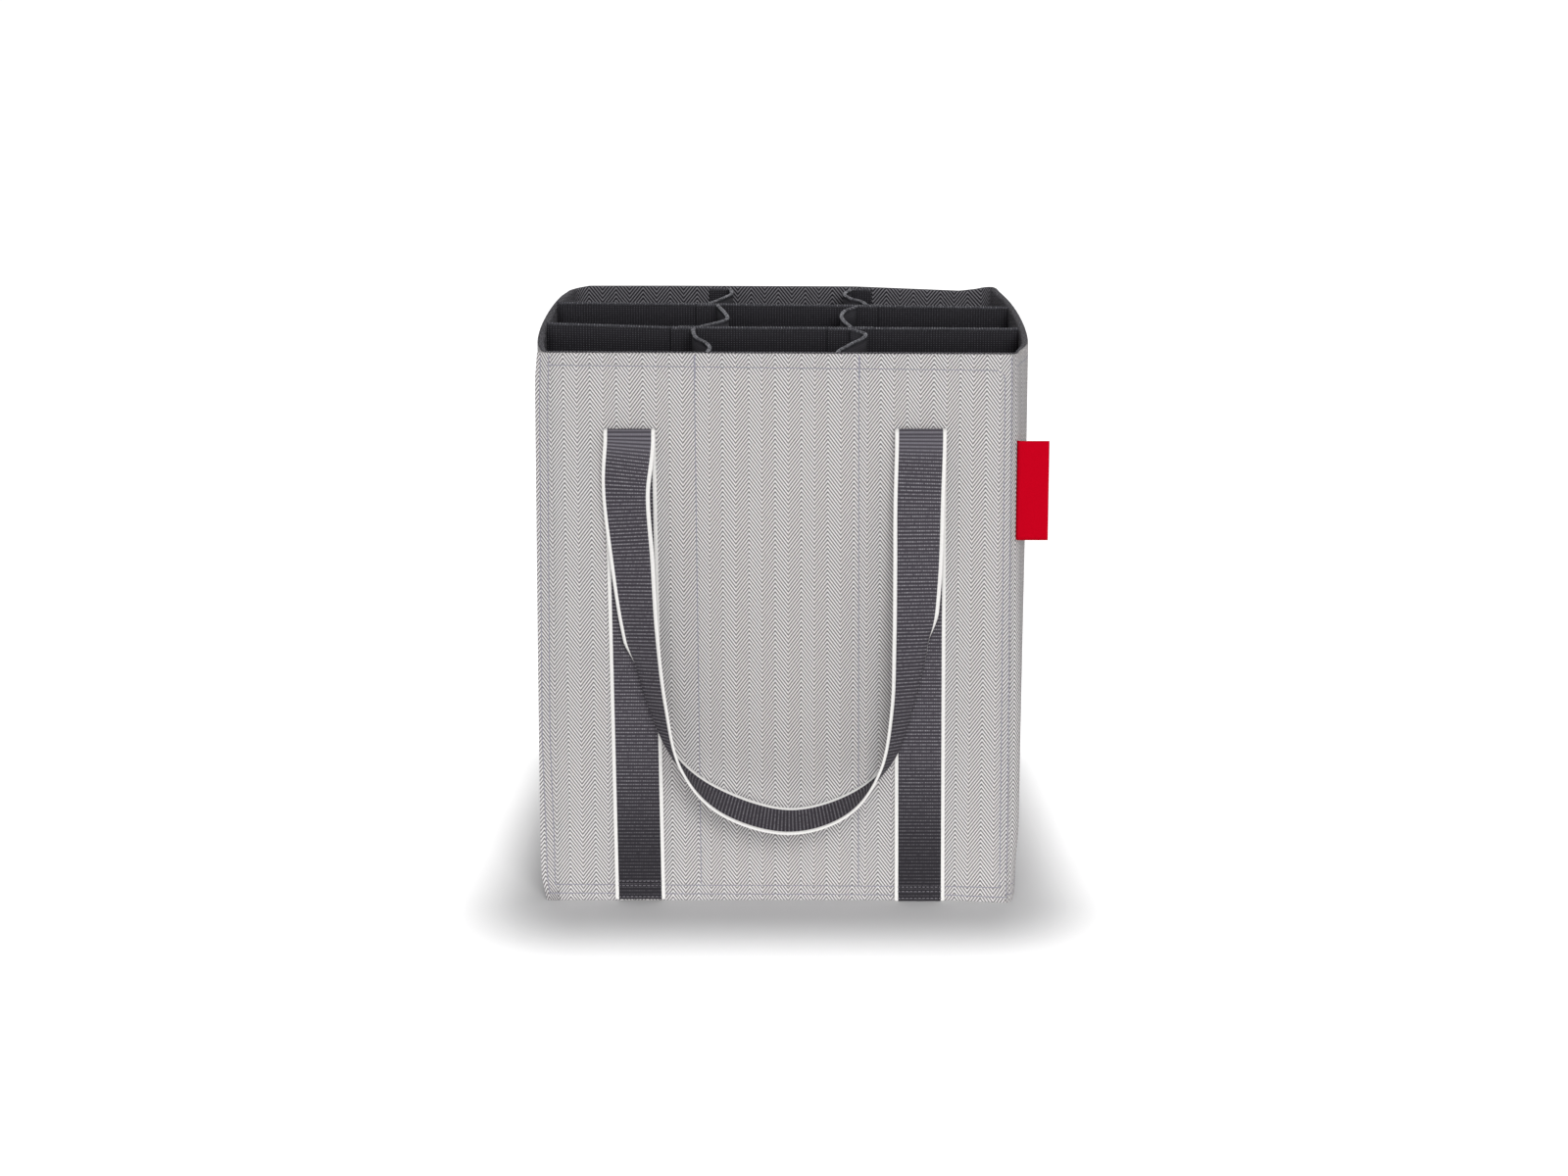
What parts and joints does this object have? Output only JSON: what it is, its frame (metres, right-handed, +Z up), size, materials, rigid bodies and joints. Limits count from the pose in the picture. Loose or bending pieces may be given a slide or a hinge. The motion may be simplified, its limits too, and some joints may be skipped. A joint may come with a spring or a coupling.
{
  "type": "bottle bag",
  "caption": "Square open-topped carrier bag of stiffened herringbone cloth, divided into cells for upright bottles, with webbing handles that hang at front and back.",
  "frame": {"origin": "centre of the base, on the ground", "axes": "+X to the right as seen from the front, +Y towards the back, +Z up"},
  "size_m": [0.256, 0.3064, 0.28],
  "materials": {
    "outer_cloth": "light grey herringbone weave",
    "rim_facing": "dark herringbone weave",
    "lining": "plain dark grey weave",
    "wall_padding": "felted wadding",
    "base_board": "plain board",
    "divider_cloth": "fine ribbed weave, overlocked top edge",
    "webbing": "ribbed webbing with off-white selvedges",
    "tab_ribbon": "bare woven ribbon"
  },
  "bodies": {
    "bag": {"front_panel": "outer_cloth", "back_panel": "outer_cloth", "left_panel": "outer_cloth", "right_panel": "outer_cloth", "base_panel": "outer_cloth", "front_padding": "wall_padding", "back_padding": "wall_padding", "left_padding": "wall_padding", "right_padding": "wall_padding", "front_lining": "lining", "back_lining": "lining", "left_lining": "lining", "right_lining": "lining", "rim_facing": "rim_facing", "base_board": "base_board", "base_lining": "lining", "front_cross_divider": "divider_cloth", "rear_cross_divider": "divider_cloth", "lane_divider_left_back": "divider_cloth", "lane_divider_left_middle": "divider_cloth", "lane_divider_left_front": "divider_cloth", "lane_divider_right_back": "divider_cloth", "lane_divider_right_middle": "divider_cloth", "lane_divider_right_front": "divider_cloth", "front_strap_left": "webbing", "front_strap_right": "webbing", "back_strap_left": "webbing", "back_strap_right": "webbing", "front_fold_left": "webbing", "front_fold_right": "webbing", "back_fold_left": "webbing", "back_fold_right": "webbing", "side_tab": "tab_ribbon"},
    "front_handle": {"front_handle": "webbing"},
    "back_handle": {"back_handle": "webbing"}
  },
  "joints": [
    {"name": "front_handle_lift", "type": "hinge", "parent": "bag", "child": "front_handle", "pos_m": [0, -0.1233, 0.242], "axis": [-1, 0, 0], "range_deg": [0, 165], "deforming": ["front_fold_left", "front_fold_right"]},
    {"name": "back_handle_lift", "type": "hinge", "parent": "bag", "child": "back_handle", "pos_m": [0, 0.1233, 0.242], "axis": [1, 0, 0], "range_deg": [0, 165], "deforming": ["back_fold_left", "back_fold_right"]}
  ]
}
